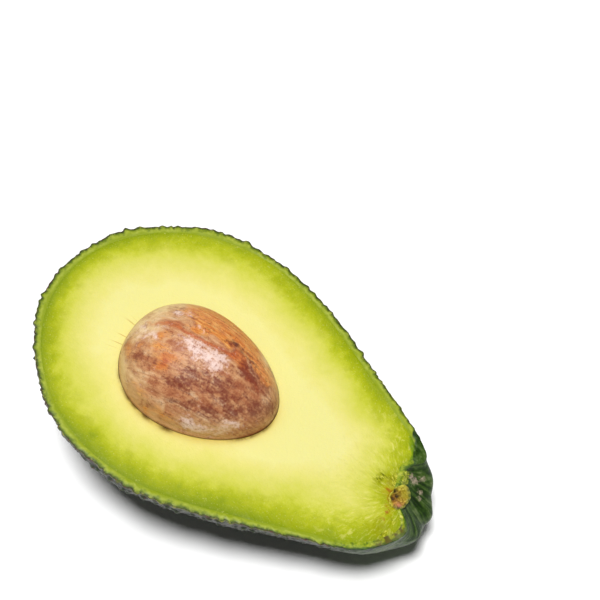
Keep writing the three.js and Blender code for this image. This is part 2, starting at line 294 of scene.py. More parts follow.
class Finish:
    """A material's nodes, added one at a time. An input is a plain value or another's output, and
    patterns are in millimetres on the object's own coordinates."""

    def __init__(self, name):
        self.material = bpy.data.materials.new(name)
        self.material.use_nodes = True
        self.nodes, self.links = self.material.node_tree.nodes, self.material.node_tree.links
        self.shader = self.nodes["Principled BSDF"]
        place = self.add("ShaderNodeTexCoord").outputs["Object"]
        self.place = self.add("ShaderNodeMapping", {"Vector": place, "Scale": (1000, 1000, 1000)}).outputs[0]

    def feed(self, socket, value):
        """Link the value to the socket if it is an output, or else set it there."""
        if isinstance(value, bpy.types.NodeSocket):
            self.links.new(value, socket)
        else:
            socket.default_value = value

    def add(self, kind, inputs=None, **options):
        """A node of this kind, its options set and its inputs fed."""
        made = self.nodes.new(kind)
        for option, value in options.items():
            setattr(made, option, value)
        for socket, value in (inputs or {}).items():
            self.feed(made.inputs[socket], value)
        return made

    def tone(self, name, output="Fac"):
        """What the mesh's own points say for this tone."""
        return self.add("ShaderNodeAttribute", attribute_name=name).outputs[output]

    def reckon(self, operation, first, *others):
        """One operation on two values or more, from left to right."""
        for other in others:
            first = self.add("ShaderNodeMath", {0: first, 1: other}, operation=operation).outputs[0]
        return first

    def plus(self, *values):
        return self.reckon("ADD", *values)

    def less(self, *values):
        """The first value less each of the others."""
        return self.reckon("SUBTRACT", *values)

    def times(self, *values):
        return self.reckon("MULTIPLY", *values)

    def sway(self, noise, reach):
        """Noise about 0.5 made to swing about 0, a given reach in all."""
        return self.times(self.less(noise, 0.5), reach)

    def stretch(self, value, low, high, to_low=0.0, to_high=1.0):
        """Value from low to high becomes to_low to to_high, smoothly, and stays within them."""
        inputs = {"Value": value, "From Min": low, "From Max": high, "To Min": to_low, "To Max": to_high}
        return self.add("ShaderNodeMapRange", inputs, interpolation_type="SMOOTHSTEP").outputs[0]

    def noise(self, scale, detail=3.0, rough=0.55, at=None, twist=0.0):
        """Noise in millimetres, or over the vector of a tone, with so many finer layers."""
        inputs = {"Vector": at or self.place, "Scale": scale, "Detail": detail, "Roughness": rough}
        return self.add("ShaderNodeTexNoise", {**inputs, "Distortion": twist}).outputs[0]

    def stops(self, value, *colours):
        """Colour by value: each stop is a place and a colour as seen."""
        made = self.add("ShaderNodeValToRGB", {0: value})
        band = made.color_ramp
        while len(band.elements) < len(colours):
            band.elements.new(1.0)
        for element, (place, colour) in zip(band.elements, colours):
            element.position = place
            element.color = srgb(*colour)
        return made.outputs[0]

    def blend(self, share, under, over):
        """The colour over takes its share of the colour under."""
        made = self.add("ShaderNodeMix", data_type="RGBA")
        for socket, value in ((made.inputs[0], share), (made.inputs[6], under), (made.inputs[7], over)):
            self.feed(socket, value)
        return made.outputs[2]

    def bump(self, height, depth_mm, under=None, strength=1.0):
        """Fine relief by shading alone: height from 0 to 1 over a depth, laid over the one under it."""
        inputs = {"Height": height, "Distance": depth_mm / 1000, "Strength": strength}
        if under is not None:
            inputs["Normal"] = under
        return self.add("ShaderNodeBump", inputs).outputs[0]

    def surface(self, **sockets):
        """The finished material, once the shader's own sockets are fed."""
        for socket, value in sockets.items():
            self.feed(self.shader.inputs[socket.replace("_", " ")], value)
        return self.material


# The skin is green, painted lighter on its pebbles and darker between them as painted light and shade, red-brown at
# its cut lip, and striped dark green with painted grey sheen where it draws in to the stalk. The cut edge goes from
# dark to yellow-green, with painted highlights on its knobs.
peel = Finish("peel, pebbled outside and cut edge")
cut = peel.tone("cut_depth")
on_cut = peel.stretch(cut, -0.05, 0.0)
on_nose = peel.tone("nose")
mottle = peel.noise(0.45, 4)
fine = peel.noise(2.2, 3)
knobbly = peel.noise(0.75, 4, 0.65)
lines = peel.noise(1.3, 6, 0.62, peel.tone("streak", "Vector"), 0.35)

# Painted light and shade: lighter green on the pebbles' tops and darker between them, with random mottle
pebble_shade_and_mottle = peel.plus(peel.times(peel.tone("pebble"), 0.62), peel.times(mottle, 0.5))
skin_colour = peel.stops(
    pebble_shade_and_mottle, (0.12, (13, 19, 7)), (0.42, (31, 45, 15)), (0.72, (56, 74, 28)), (1.0, (98, 114, 58)),
)
purple = peel.stretch(peel.noise(0.16, 3, 0.6), 0.56, 0.7, 0, 0.55)
skin_colour = peel.blend(purple, skin_colour, srgb(44, 22, 20))
lipped = peel.stops(
    peel.noise(0.5, 3, 0.6),
    (0.36, (92, 34, 18)), (0.44, (66, 58, 16)), (0.56, (84, 92, 20)), (0.68, (140, 138, 40)),
)
skin_colour = peel.blend(peel.tone("lip"), skin_colour, lipped)
specks = peel.stretch(peel.noise(1.5, 2, 0.5), 0.65, 0.71, 0, 0.8)
skin_colour = peel.blend(specks, skin_colour, srgb(112, 44, 38))
# The nose skin: dark green stripes, and its palest grey stops are painted sheen streaks. The skin that creeps or
# rolls over the cut carries them too
nose = peel.stops(
    peel.plus(peel.times(lines, 0.72), peel.times(peel.noise(0.7, 4, 0.62), 0.28)),
    (0.36, (18, 36, 7)), (0.46, (36, 62, 13)), (0.54, (66, 92, 32)), (0.63, (106, 120, 76)),
    (0.74, (150, 154, 124)),
)
skin_colour = peel.blend(peel.times(on_nose, 0.9), skin_colour, nose)
scarred = peel.plus(peel.tone("scar"), peel.sway(fine, 1.6))
skin_colour = peel.blend(peel.stretch(scarred, 0.3, 1.05, 0, 0.75), skin_colour, srgb(182, 164, 142))

frayed = peel.plus(cut, peel.sway(peel.noise(0.9, 3), 0.8))
edge_colour = peel.stops(
    peel.times(frayed, 0.5), (0.03, (28, 30, 6)), (0.13, (50, 62, 8)), (0.24, (84, 102, 10)),
    (0.38, (128, 145, 22)), (0.56, (154, 168, 44)), (0.72, (150, 165, 34)), (0.86, (138, 155, 8)),
)
within = peel.stretch(cut, 1.1, 1.7, 1, 0)
# Painted highlights: the cut edge is lighter on the tops of its knobs
knob_top_highlights = peel.times(within, peel.stretch(knobbly, 0.5, 0.66, 0, 0.5))
edge_colour = peel.blend(knob_top_highlights, edge_colour, srgb(178, 188, 74))
dark_knobs = peel.times(within, peel.stretch(knobbly, 0.34, 0.48, 0.55, 0))
edge_colour = peel.blend(dark_knobs, edge_colour, srgb(84, 108, 14))
ragged = peel.stops(
    knobbly, (0.36, (70, 98, 8)), (0.44, (122, 144, 12)), (0.54, (150, 164, 24)), (0.66, (182, 188, 64)),
)
edge_colour = peel.blend(peel.times(on_nose, peel.stretch(frayed, 0.3, 0.8)), edge_colour, ragged)
crept = peel.stretch(peel.plus(frayed, peel.sway(lines, -2.0)), 0.5, 1.0, 1, 0)
crept_colour = peel.blend(0.35, nose, srgb(96, 128, 40))
edge_colour = peel.blend(peel.times(on_nose, crept), edge_colour, crept_colour)
edge_colour = peel.blend(peel.stretch(peel.tone("rolled_in"), -0.1, 0.5), edge_colour, nose)
browned = peel.times(peel.tone("browned"), peel.stretch(knobbly, 0.4, 0.56, 0.9, 0.35))
edge_colour = peel.blend(browned, edge_colour, srgb(96, 82, 34))

peel_colour = peel.blend(on_cut, skin_colour, edge_colour)
bare = peel.stops(
    peel.noise(1.6, 3, 0.6, twist=0.8), (0.4, (104, 122, 8)), (0.5, (162, 170, 26)), (0.62, (208, 208, 86)),
)
bared = peel.plus(peel.tone("bared"), peel.sway(lines, 2.0))
peel_colour = peel.blend(peel.stretch(bared, 0.35, 0.75, 0, 0.9), peel_colour, bare)
rough = peel.plus(peel.times(peel.noise(1.1, 2), 0.25), peel.stretch(on_cut, 0, 1, 0.24, 0.28))
grain = peel.bump(fine, 0.1, strength=0.4)
furrows = peel.bump(peel.times(lines, on_nose, peel.stretch(on_cut, 0, 1, 1, 0.15)), 0.5, grain, 0.6)
peel_finish = peel.surface(
    Base_Color=peel_colour, Roughness=rough, Normal=peel.bump(knobbly, 0.15, furrows, 0.4),
    Specular_IOR_Level=0.16,
)

rest_point, rest_pitch = np.array([-3.252, 0.0, -29.594]), np.radians(10)


def laid_down(point):
    """From the fruit's own axes, in millimetres, to the row frame, in metres: tipped nose down
    about the point that it rests on, and nothing goes under the floor."""
    p = (point - rest_point) / 1000
    c, s = np.cos(rest_pitch), np.sin(rest_pitch)
    x, z = p[..., 0] * c + p[..., 2] * s, p[..., 2] * c - p[..., 0] * s
    return np.stack([x, p[..., 1], np.maximum(z, 0)], -1)


def make_piece(name, points, faces, corners, tones, node, material):
    """A closed mesh, smooth but for the edges between its corner points, with one value of each
    tone at each point. It stands for its solid."""
    mesh = bpy.data.meshes.new(name)
    mesh.from_pydata(laid_down(points), [], [f for group in faces for f in group.tolist()])
    mesh.polygons.foreach_set("use_smooth", np.ones(len(mesh.polygons), bool))
    ends = np.zeros(2 * len(mesh.edges), np.int32)
    mesh.edges.foreach_get("vertices", ends)
    mesh.edges.foreach_set("use_edge_sharp", np.isin(ends.reshape(-1, 2), corners).all(1))
    for tone, values in tones.items():
        values = np.asarray(values, np.float32)
        single = values.ndim == 1
        layer = mesh.attributes.new(tone, "FLOAT" if single else "FLOAT_VECTOR", "POINT")
        layer.data.foreach_set("value" if single else "vector", values.ravel())
    mesh.materials.append(material)
    piece = bpy.data.objects.new(name, mesh)
    bpy.context.scene.collection.objects.link(piece)
    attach(piece, "root")
    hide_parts(node)


peel_corners = np.concatenate([outer, edge_numbers[-1]])
make_piece("pebbled_peel", peel_points, peel_faces, peel_corners, peel_tones, "peel", peel_finish)


# Flesh: one soft oily body from the peel to the stone, cut flat by the knife. It is green under
# the peel and pale butter yellow round the stone, wet, with fibres that run to the stalk.
stone_centre, stone_half_length, stone_girth = np.array([-7.75, -2.0, 0.0]), 19.5, 14.65
stone_yaw, stone_gap = np.radians(5.3), 0.1
wall_cells, face_rows, hollow_rows = 120, 64, 26
stalk = np.array([46.5, 1.4])


def egg(ball, gap=0.0):
    """The unit sphere drawn out to the stone's egg, narrower toward the stalk, turned 5 degrees."""
    girth = (stone_girth + gap) * (1 - 0.145 * ball[..., 0])
    along, across = (stone_half_length + gap) * ball[..., 0], girth * ball[..., 1]
    c, s = np.cos(stone_yaw), np.sin(stone_yaw)
    return np.stack([along * c - across * s, along * s + across * c, girth * ball[..., 2]], -1) + stone_centre


def hollow_at(turn, sink=0.0):
    """The hollow's wall, just clear of the stone, at a turn round the egg and an angle down it."""
    level = np.cos(sink)
    return egg(np.stack([level * np.cos(turn), level * np.sin(turn), -np.sin(sink) + 0 * turn], -1), stone_gap)


wall = fruit_surface(from_heart(*square(wall_cells)), peel_thickness)
wall_numbers = numbered(wall)
flesh_rim = edge_of(wall_numbers)
rim_points = wall.reshape(-1, 3)[flesh_rim]

# The hollow's edge: for each point of the rim, the place of the egg that faces it
circle = np.linspace(0, 2 * np.pi, 2881)[:-1]
ring = hollow_at(circle) - stone_centre
facing = np.arctan2(ring[:, 1], ring[:, 0])
lead = (circle - facing + np.pi) % (2 * np.pi) - np.pi
to_rim = rim_points - stone_centre
wanted = np.arctan2(to_rim[:, 1], to_rim[:, 0])
ball_turn = wanted + np.interp(wanted, facing, lead, period=2 * np.pi)
share = np.linspace(0, 1, face_rows + 1)[1:, None]
hollow_rim = hollow_at(ball_turn)
eased = (0.5 * share + 0.25 * (1 - np.cos(np.pi * share)))[..., None]
face = rim_points + (hollow_rim - rim_points) * eased
hollow = hollow_at(ball_turn, np.linspace(0, np.pi / 2, hollow_rows + 1)[1:-1, None])
bottom = egg(np.array([[0.0, 0.0, -1.0]]), stone_gap)

# How far each point of the face is from the peel, from the stone and from the stalk. The points
# share their numbers with the face, so the relief that it gets below is theirs too.
flat = face.reshape(-1, 3)
from_peel = np.sqrt(np.min([((flat[:, :2] - corner) ** 2).sum(1) for corner in rim_points[::2, :2]], 0))
from_peel = np.minimum(from_peel, np.linalg.norm(face - rim_points, axis=-1).ravel())
from_stone = np.linalg.norm(face - hollow_rim, axis=-1).ravel()
fx, fy = flat[:, 0], flat[:, 1]
stalk_way = np.arctan2(fy - stalk[1], stalk[0] - fx)
stalk_reach = np.hypot(fy - stalk[1], stalk[0] - fx)
low_side = ramp(0.5 * (fx - stone_centre[0]) - 0.87 * (fy - stone_centre[1]), 0.0, 10)

strayed = flat + np.stack([0.5 * drift(flat, 1.3, 20 + k) * (k < 2) for k in range(3)], 1)
tuft = near(
    strayed, (43.8, 5.6, 0, 1.6), (42.6, 4.5, 0, 1.5), (41.2, 3.6, 0, 1.2), (39.8, 3.0, 0, 1.0),
    (38.5, 2.3, 0, 0.8), (44.4, 7.4, 0, 0.8), (47.6, -8.5, 0, 0.9), (48.5, -11.0, 0, 0.8), (47.2, -3.9, 0, 0.8),
)

# Its relief: a soft dip at the rim and at the stone, slight waves, and torn flesh by the stalk
wave = 0.05 * drift(flat, 12, 6)
rags = (0.14 + 0.22 * tuft) * drift(np.stack([stalk_way * 9, stalk_reach * 0.3], 1), 1.0, 7)
rags += 0.05 * drift(flat, 0.9, 8)
rags *= ramp(stalk_reach, 15, -12) * ramp(plug_reach(flat), 1.15, 0.9)
rim_ripple = 0.05 * drift(flat, 1.5, 14) * np.exp(-from_peel / 1.2)
dip = (0.08 - 0.3 * low_side) * np.exp(-from_stone / 0.6) + 0.06 * np.exp(-((from_stone - 1.6) / 1.0) ** 2)
face[..., 2] = ((wave + rim_ripple + rags) * (1 - np.exp(-from_peel / 0.8)) + dip).reshape(face.shape[:2])
face[-1, :, 2] = 0

face_numbers = numbered(face, wall_numbers.size)
hollow_numbers = numbered(hollow, wall_numbers.size + face_numbers.size)
bottom_number = wall_numbers.size + face_numbers.size + hollow_numbers.size
last = hollow_numbers[-1]
flesh_points = seated(np.concatenate([wall.reshape(-1, 3), flat, hollow.reshape(-1, 3), bottom]))
flesh_faces = [
    square_faces(wall_numbers)[:, ::-1],
    band_faces(np.concatenate([flesh_rim[None], face_numbers, hollow_numbers])),
    np.stack([last, np.roll(last, -1), np.full(len(last), bottom_number)], 1),
]


def face_tone(values, by_stone=0.0):
    """A tone worked out over the cut face, the same at its rim, its least on the hidden wall, and one
    value down the hollow."""
    wall_values = np.full((wall_numbers.size, *values.shape[1:]), values.min(0))
    wall_values[flesh_rim] = values[:len(flesh_rim)]
    return np.concatenate([wall_values, values, np.full((hollow_numbers.size + 1, *values.shape[1:]), by_stone)])


# The green under the peel is darkest and broadest on the side that lay lower
under_side = ramp(-fy, 0, 14) * ramp(fx, -34, 12) * (1 - 0.8 * ramp(fx, 18, 14))
by_blossom, by_neck = ramp(-fx, 28, 12), ramp(fx, 14, 14) * ramp(-fy, -4, 8)
way = np.arctan2(fy, fx)
uneven_green = 0.25 * np.sin(3 * way + 1) + 0.2 * np.sin(7 * way)
green_depth = from_peel * (1 + 0.22 * by_blossom - 0.2 * by_neck)
green_depth += 1.3 - 1.3 * under_side - 0.6 * by_blossom + uneven_green

# The stone has stained the flesh at its edge, the flesh is darker olive-brown along its lower side, and a few hairs
# of its coat cling there
from_centre = flat - stone_centre
around = np.stack([np.arctan2(from_centre[:, 1], from_centre[:, 0]) * 30, from_stone * 0.06, 0 * fx], 1)
hairs = near(flat, (-28.2, -1.6, 0, 1.6), (-28.0, -4.4, 0, 1.2), (-27.6, -7.2, 0, 1.7), (-20.8, -13.6, 0, 1.2))
stain = np.exp(-from_stone / 1.0) * (0.3 + 0.7 * low_side)
olive_brown_by_stone = np.maximum(
    np.exp(-(from_stone / 0.55) ** 2) * near(
        flat, (-16.5, -15.5, 0, 4.2), (-21.5, -12, 0, 2.5), (9.5, -7.5, 0, 3.5), (11.2, -4, 0, 2.5),
    ),
    np.exp(-(from_stone / 0.9) ** 2) * near(flat, (-12.2, -16.8, 0, 2.2), (-6.6, -17.2, 0, 1.8)),
)

# By the stalk it is torn into fibres, olive and golden, with rusty crumbs of cork
fibre = np.stack([stalk_way * 15, stalk_reach * 0.5, 0 * fx], 1)
torn = 0.08 + 0.92 * ramp(stalk_reach, 27, -16)
olive = near(strayed, (43.6, 3.2, 0, 4.2), (39.4, 2.5, 0, 1.7), (41.4, 3.5, 0, 2.2), (45.5, -7.0, 0, 3.0))
golden = near(strayed, (43.0, 1.2, 0, 1.7), (43.8, 3.8, 0, 1.3), (44.9, -1.9, 0, 1.1)) * 0.75
rust = near(
    strayed, (43.3, -0.2, 0, 0.9), (43.9, -1.3, 0, 0.7), (44.8, -3.4, 0, 0.7), (44.6, -5.4, 0, 0.6),
    (42.7, 1.2, 0, 0.7),
)
flesh_tones = {
    "from_peel": face_tone(green_depth, 16.0), "around": face_tone(around), "hairs": face_tone(hairs),
    "stain": face_tone(stain, 0.6), "olive_brown_by_stone": face_tone(olive_brown_by_stone, 0.4), "fibre": face_tone(fibre),
    "torn": face_tone(torn), "tuft": face_tone(tuft), "olive": face_tone(olive), "golden": face_tone(golden),
    "rust": face_tone(rust), "rolled_in": face_tone(rolled_in(flat), -9.0),
}

flesh = Finish("avocado flesh, cut and wet")
inward = flesh.tone("from_peel")
on_torn = flesh.tone("torn")
along_fibre = flesh.tone("fibre", "Vector")
cloud = flesh.noise(0.13, 4, 0.6)
mottle = flesh.noise(0.55, 3, 0.6)
strands = flesh.noise(1.0, 4, 0.66, along_fibre, 0.7)
uneven = flesh.plus(flesh.sway(cloud, 7.0), flesh.sway(mottle, 2.6), flesh.sway(strands, 1.0))
warped = flesh.plus(inward, flesh.times(uneven, flesh.stretch(inward, 0.0, 3.5)))
flesh_colour = flesh.stops(
    flesh.times(warped, 1 / 16), (0.0, (122, 142, 2)), (0.056, (134, 152, 3)), (0.112, (148, 163, 3)),
    (0.175, (164, 175, 8)), (0.238, (178, 186, 26)), (0.331, (196, 200, 58)), (0.456, (208, 208, 84)),
    (0.581, (215, 212, 103)), (0.688, (222, 217, 116)), (0.812, (227, 220, 129)), (0.97, (231, 225, 144)),
)
in_green = flesh.times(flesh.stretch(inward, 0.6, 2.0), flesh.stretch(inward, 4.5, 8.0, 1, 0))
blotches = flesh.stretch(flesh.noise(0.24, 4, 0.62, twist=0.4), 0.42, 0.72, 0, 0.55)
flesh_colour = flesh.blend(flesh.times(in_green, blotches), flesh_colour, srgb(157, 166, 2))
glints = flesh.stretch(flesh.noise(2.6, 2, 0.6), 0.6, 0.72, 0, 0.35)
glints = flesh.times(glints, flesh.stretch(inward, 3, 11, 1, 0.25))
flesh_colour = flesh.blend(glints, flesh_colour, srgb(216, 216, 120))
light_strands = flesh.times(flesh.stretch(strands, 0.52, 0.68, 0, 0.6), on_torn)
flesh_colour = flesh.blend(light_strands, flesh_colour, srgb(226, 220, 118))
dark_strands = flesh.times(
    flesh.stretch(strands, 0.34, 0.48, 0.45, 0), flesh.stretch(inward, 3.5, 8, 1, 0.2), on_torn,
)
flesh_colour = flesh.blend(dark_strands, flesh_colour, srgb(150, 160, 8))

flesh_colour = flesh.blend(flesh.times(flesh.tone("stain"), 0.7), flesh_colour, srgb(206, 168, 52))
# Darker olive-brown along the stone's edge, mostly on the lower side
olive_brown_share = flesh.times(flesh.tone("olive_brown_by_stone"), flesh.stretch(mottle, 0.3, 0.55, 0.35, 1))
flesh_colour = flesh.blend(olive_brown_share, flesh_colour, srgb(104, 74, 14))
thin = flesh.stretch(flesh.noise(1.0, 2, 0.5, flesh.tone("around", "Vector")), 0.58, 0.66, 0, 0.7)
flesh_colour = flesh.blend(flesh.times(thin, flesh.tone("hairs")), flesh_colour, srgb(186, 136, 48))

olived = flesh.times(flesh.tone("olive"), flesh.stretch(strands, 0.35, 0.6, 0.85, 0.4))
flesh_colour = flesh.blend(olived, flesh_colour, srgb(146, 146, 8))
tattered = flesh.times(flesh.less(flesh.plus(mottle, strands), 1.0), 1.3)
in_tuft = flesh.tone("tuft")
tufts = flesh.times(
    flesh.stretch(flesh.plus(in_tuft, tattered), 0.25, 0.65, 0, 0.92), flesh.stretch(in_tuft, 0.02, 0.2),
)
# Torn shreds, yellow on the strands, with dark olive streaks between them that are painted shade
shreds_and_shade = flesh.stops(
    flesh.noise(1.5, 4, 0.62, along_fibre, 0.4),
    (0.38, (96, 104, 4)), (0.48, (142, 146, 12)), (0.56, (176, 178, 34)), (0.66, (218, 214, 96)),
)
flesh_colour = flesh.blend(tufts, flesh_colour, shreds_and_shade)
gilded = flesh.times(flesh.tone("golden"), flesh.stretch(strands, 0.3, 0.6, 0.9, 0.45))
flesh_colour = flesh.blend(gilded, flesh_colour, srgb(188, 146, 16))
rusted = flesh.stretch(flesh.plus(flesh.tone("rust"), tattered), 0.4, 0.9, 0, 0.8)
flesh_colour = flesh.blend(rusted, flesh_colour, srgb(158, 92, 18))
skin_over = flesh.plus(flesh.tone("rolled_in"), flesh.sway(strands, 1.6))
# The rolled-in skin is dark green, and its palest stop is painted grey sheen
rolled_skin_and_sheen_colour = flesh.stops(
    strands, (0.36, (14, 30, 5)), (0.48, (34, 58, 11)), (0.58, (66, 94, 28)), (0.72, (140, 146, 110)),
)
flesh_colour = flesh.blend(flesh.stretch(skin_over, -0.9, -0.1, 0, 0.8), flesh_colour, srgb(96, 134, 10))
flesh_colour = flesh.blend(flesh.stretch(skin_over, -0.1, 0.5), flesh_colour, rolled_skin_and_sheen_colour)

wet = flesh.stretch(flesh.noise(0.8, 3, 0.6), 0.35, 0.7, 0.28, 0.5)
fibres = flesh.bump(flesh.times(strands, on_torn), 0.3, strength=0.5)
flesh_finish = flesh.surface(
    Base_Color=flesh_colour, Roughness=wet, Normal=flesh.bump(flesh.noise(1.7, 4, 0.62), 0.16, fibres, 0.5),
    IOR=1.4, Specular_IOR_Level=0.13,
    Subsurface_Weight=0.15, Subsurface_Radius=(1.0, 0.8, 0.25), Subsurface_Scale=0.002,
)
flesh_corners = np.concatenate([flesh_rim, face_numbers[-1]])
make_piece("soft_flesh", flesh_points, flesh_faces, flesh_corners, flesh_tones, "flesh", flesh_finish)


# Stone: the one big seed, an egg in a dry papery coat that is streaked and blotched. It lies
# loose in its hollow, half of it over the cut, and nothing holds it.
stone_cells = 150


def closed_bowl(cells, top):
    """A bowl and a lid on it that share its edge, the lid being the bowl with its height times top:
    the points, the faces and the numbers of the bowl's own points."""
    lower = bowl(*square(cells))
    lower_numbers = numbered(lower)
    lid = (lower * [1, 1, top])[1:-1, 1:-1]
    upper_numbers = lower_numbers.copy()
    upper_numbers[1:-1, 1:-1] = numbered(lid, lower_numbers.size)
    faces = [square_faces(lower_numbers)[:, ::-1], square_faces(upper_numbers)]
    return np.concatenate([lower.reshape(-1, 3), lid.reshape(-1, 3)]), faces, lower_numbers


ball, stone_faces, _ = closed_bowl(stone_cells, -1)
bx, by, bz = ball.T
roll, hug = np.arctan2(by, bz), np.hypot(by, bz)
dents = 0.16 * np.sin(2.1 * bx + 2 * roll + 0.5) * hug + 0.1 * np.sin(4.3 * bx - 3 * roll + 2) * hug
grooves = 0.05 * np.sin(19 * roll + 3 * np.sin(2 * bx)) * hug**2 + 0.03 * np.sin(41 * roll + 2 * bx + 1) * hug**2
relief = (dents + grooves - 0.12) * ramp(np.abs(bz), 0.0, 0.12)
stone_points = egg(ball) + ball * relief[:, None]

# Where its colours lie, on the ball of radius 1 that the egg is drawn out from, edges uneven
strayed = ball + np.stack([0.07 * drift(ball, 0.5, 30 + k) + 0.035 * drift(ball, 0.16, 33 + k) for k in range(3)], 1)
along = strayed[:, 0]
side = np.arctan2(strayed[:, 1], strayed[:, 2])
far_band = ramp(side, 0.26, 0.22) * (1 - 0.7 * ramp(side, 1.35, 0.2))
far_band *= ramp(along, -0.72, 0.3) * (1 - 0.85 * ramp(along, 0.5, 0.25))
orange = np.maximum(far_band, 0.9 * near(
    strayed, (-0.53, -0.17, 0.82, 0.16), (-0.38, -0.38, 0.83, 0.15), (-0.38, -0.7, 0.6, 0.17),
    (-0.72, -0.42, 0.55, 0.14), (0.45, 0.2, 0.88, 0.16), (-0.5, -0.85, 0.2, 0.2), (-0.2, -0.93, 0.3, 0.14),
))
red_line = np.exp(-((side - 0.2 - 0.07 * along) / 0.07) ** 2) * ramp(along, -0.82, 0.2) * (1 - ramp(along, 0.3, 0.4))
red = red_line + near(
    strayed, (-0.78, -0.36, 0.5, 0.13), (-0.6, -0.1, 0.78, 0.1), (0.5, 0.12, 0.85, 0.12),
    (0.34, 0.2, 0.92, 0.1), (0.62, 0.05, 0.78, 0.12), (-0.4, -0.36, 0.84, 0.1),
)
dark = near(
    strayed, (-0.06, -0.43, 0.9, 0.2), (0.2, -0.4, 0.9, 0.26), (0.42, -0.27, 0.87, 0.26), (0.77, -0.2, 0.6, 0.28),
    (0.56, -0.5, 0.66, 0.22), (0.3, 0.4, 0.87, 0.1), (0.62, 0.08, 0.78, 0.2), (-0.82, -0.3, 0.48, 0.1),
    (0.1, -0.78, 0.62, 0.14), (-0.12, -0.78, 0.61, 0.12), (0.66, 0.3, 0.68, 0.2), (-0.6, -0.5, 0.62, 0.12),
    (0.3, -0.72, 0.62, 0.2), (0.96, -0.05, 0.3, 0.24), (0.6, 0.35, 0.7, 0.12),
)
# Cream patches round the stone's edge, partly painted rim light that makes its edges lighter
cream_and_rim_light = near(
    strayed, (-0.9, 0.05, 0.42, 0.35), (-0.78, 0.45, 0.42, 0.32), (-0.5, 0.78, 0.3, 0.26),
    (-0.92, -0.32, 0.2, 0.28), (-0.84, -0.52, 0.2, 0.3), (-0.2, 0.96, 0.2, 0.2),
    (0.62, 0.74, 0.24, 0.26), (0.82, 0.52, 0.2, 0.2),
)
# Pale pinkish patches of the coat, and on the stone's top a painted highlight
pale_and_highlight = near(
    strayed, (-0.88, -0.04, 0.46, 0.24), (-0.7, -0.08, 0.71, 0.18), (-0.2, 0.0, 0.98, 0.17),
    (-0.03, -0.02, 1.0, 0.2), (0.13, -0.06, 0.99, 0.18), (-0.45, 0.38, 0.81, 0.1), (-0.6, 0.32, 0.72, 0.1),
    (-0.3, 0.42, 0.85, 0.09), (-0.8, -0.6, 0.1, 0.25), (0.62, -0.68, 0.4, 0.2), (0.25, -0.93, 0.25, 0.24),
    (0.5, -0.85, 0.2, 0.2),
)
crease = near(
    ball + 0.4 * (strayed - ball), *[(-0.16 + 0.07 * k, -0.785 + 0.006 * k * k, 0.6, 0.045) for k in range(6)],
    (-0.27, -0.53, 0.8, 0.035), (0.3, 0.41, 0.86, 0.05), (0.27, 0.44, 0.85, 0.04), (0.36, 0.36, 0.86, 0.04),
)
turned = np.arctan2(by, bx)
stone_tones = {
    "orange": orange, "red": red, "dark": dark, "pale_and_highlight": pale_and_highlight, "cream_and_rim_light": cream_and_rim_light, "crease": crease,
    "coat_grain": np.stack([bx * 2.6, roll * 10 * hug, hug * 2], 1),
    "coat_line": np.exp(-(bz / 0.05) ** 2) * ramp(turned, -1.0, 0.5) * (1 - ramp(turned, 0.0, 0.5)) * 0.9,
    # low: a tan band round the stone's foot by the cut, partly painted rim light
    "low": 0.62 * (1 - ramp(bz, 0.1, 0.5)) * ramp(bz, -0.1, 0.1) * (1 - 0.9 * near(ball, (1, -0.15, 0, 0.5))),
}

stone = Finish("avocado stone, papery coat")
lengthwise = stone.tone("coat_grain", "Vector")
streaks = stone.noise(0.7, 6, 0.66, lengthwise, 0.8)
threads = stone.noise(2.6, 4, 0.62, lengthwise, 0.3)
blots = stone.noise(0.22, 6, 0.68, twist=0.6)
freckles = stone.noise(1.1, 5, 0.68)
dust = stone.noise(3.0, 3, 0.6)
mixed = stone.plus(stone.times(blots, 0.55), stone.times(streaks, 0.45))
ragged = stone.plus(stone.sway(streaks, 2.2), stone.sway(threads, 1.2))
flecked = stone.plus(stone.sway(blots, 1.7), stone.sway(freckles, 2.3))

coat = stone.stops(
    mixed, (0.36, (142, 74, 46)), (0.45, (184, 117, 76)), (0.53, (212, 156, 108)), (0.62, (232, 195, 156)),
)
coat = stone.blend(stone.stretch(threads, 0.48, 0.66, 0, 0.35), coat, srgb(160, 80, 48))
rusty = stone.stops(
    threads, (0.34, (192, 98, 34)), (0.45, (216, 124, 48)), (0.54, (228, 148, 66)), (0.68, (240, 184, 106)),
)
orange_share = stone.plus(stone.tone("orange"), stone.times(ragged, 0.7))
coat = stone.blend(stone.stretch(orange_share, 0.2, 0.85, 0, 0.95), coat, rusty)
red_share = stone.plus(stone.tone("red"), stone.times(ragged, 0.6))
reddish = stone.stops(threads, (0.4, (156, 58, 20)), (0.6, (206, 108, 52)))
coat = stone.blend(stone.stretch(red_share, 0.2, 1.0, 0, 0.8), coat, reddish)
dark_share = stone.plus(stone.tone("dark"), flecked, stone.times(ragged, 0.7))
coat = stone.blend(stone.stretch(dark_share, 0.12, 1.1, 0, 0.9), coat, srgb(122, 48, 30))
# The pale coat, and the painted highlight on top
pale_and_highlight_share = stone.less(stone.tone("pale_and_highlight"), flecked, stone.times(ragged, 0.3))
coat = stone.blend(stone.stretch(pale_and_highlight_share, 0.3, 1.2, 0, 0.9), coat, srgb(244, 214, 202))
specks = stone.stretch(stone.plus(dust, stone.times(freckles, 0.6)), 0.86, 1.0, 0, 0.55)
coat = stone.blend(specks, coat, srgb(120, 44, 26))
creased = stone.times(stone.tone("crease"), stone.stretch(threads, 0.3, 0.6, 0.4, 0.9))
coat = stone.blend(creased, coat, srgb(84, 30, 20))
creamy_and_rim_light = stone.times(stone.tone("cream_and_rim_light"), stone.stretch(mixed, 0.38, 0.55, 0.3, 0.85))
coat = stone.blend(creamy_and_rim_light, coat, srgb(250, 222, 164))
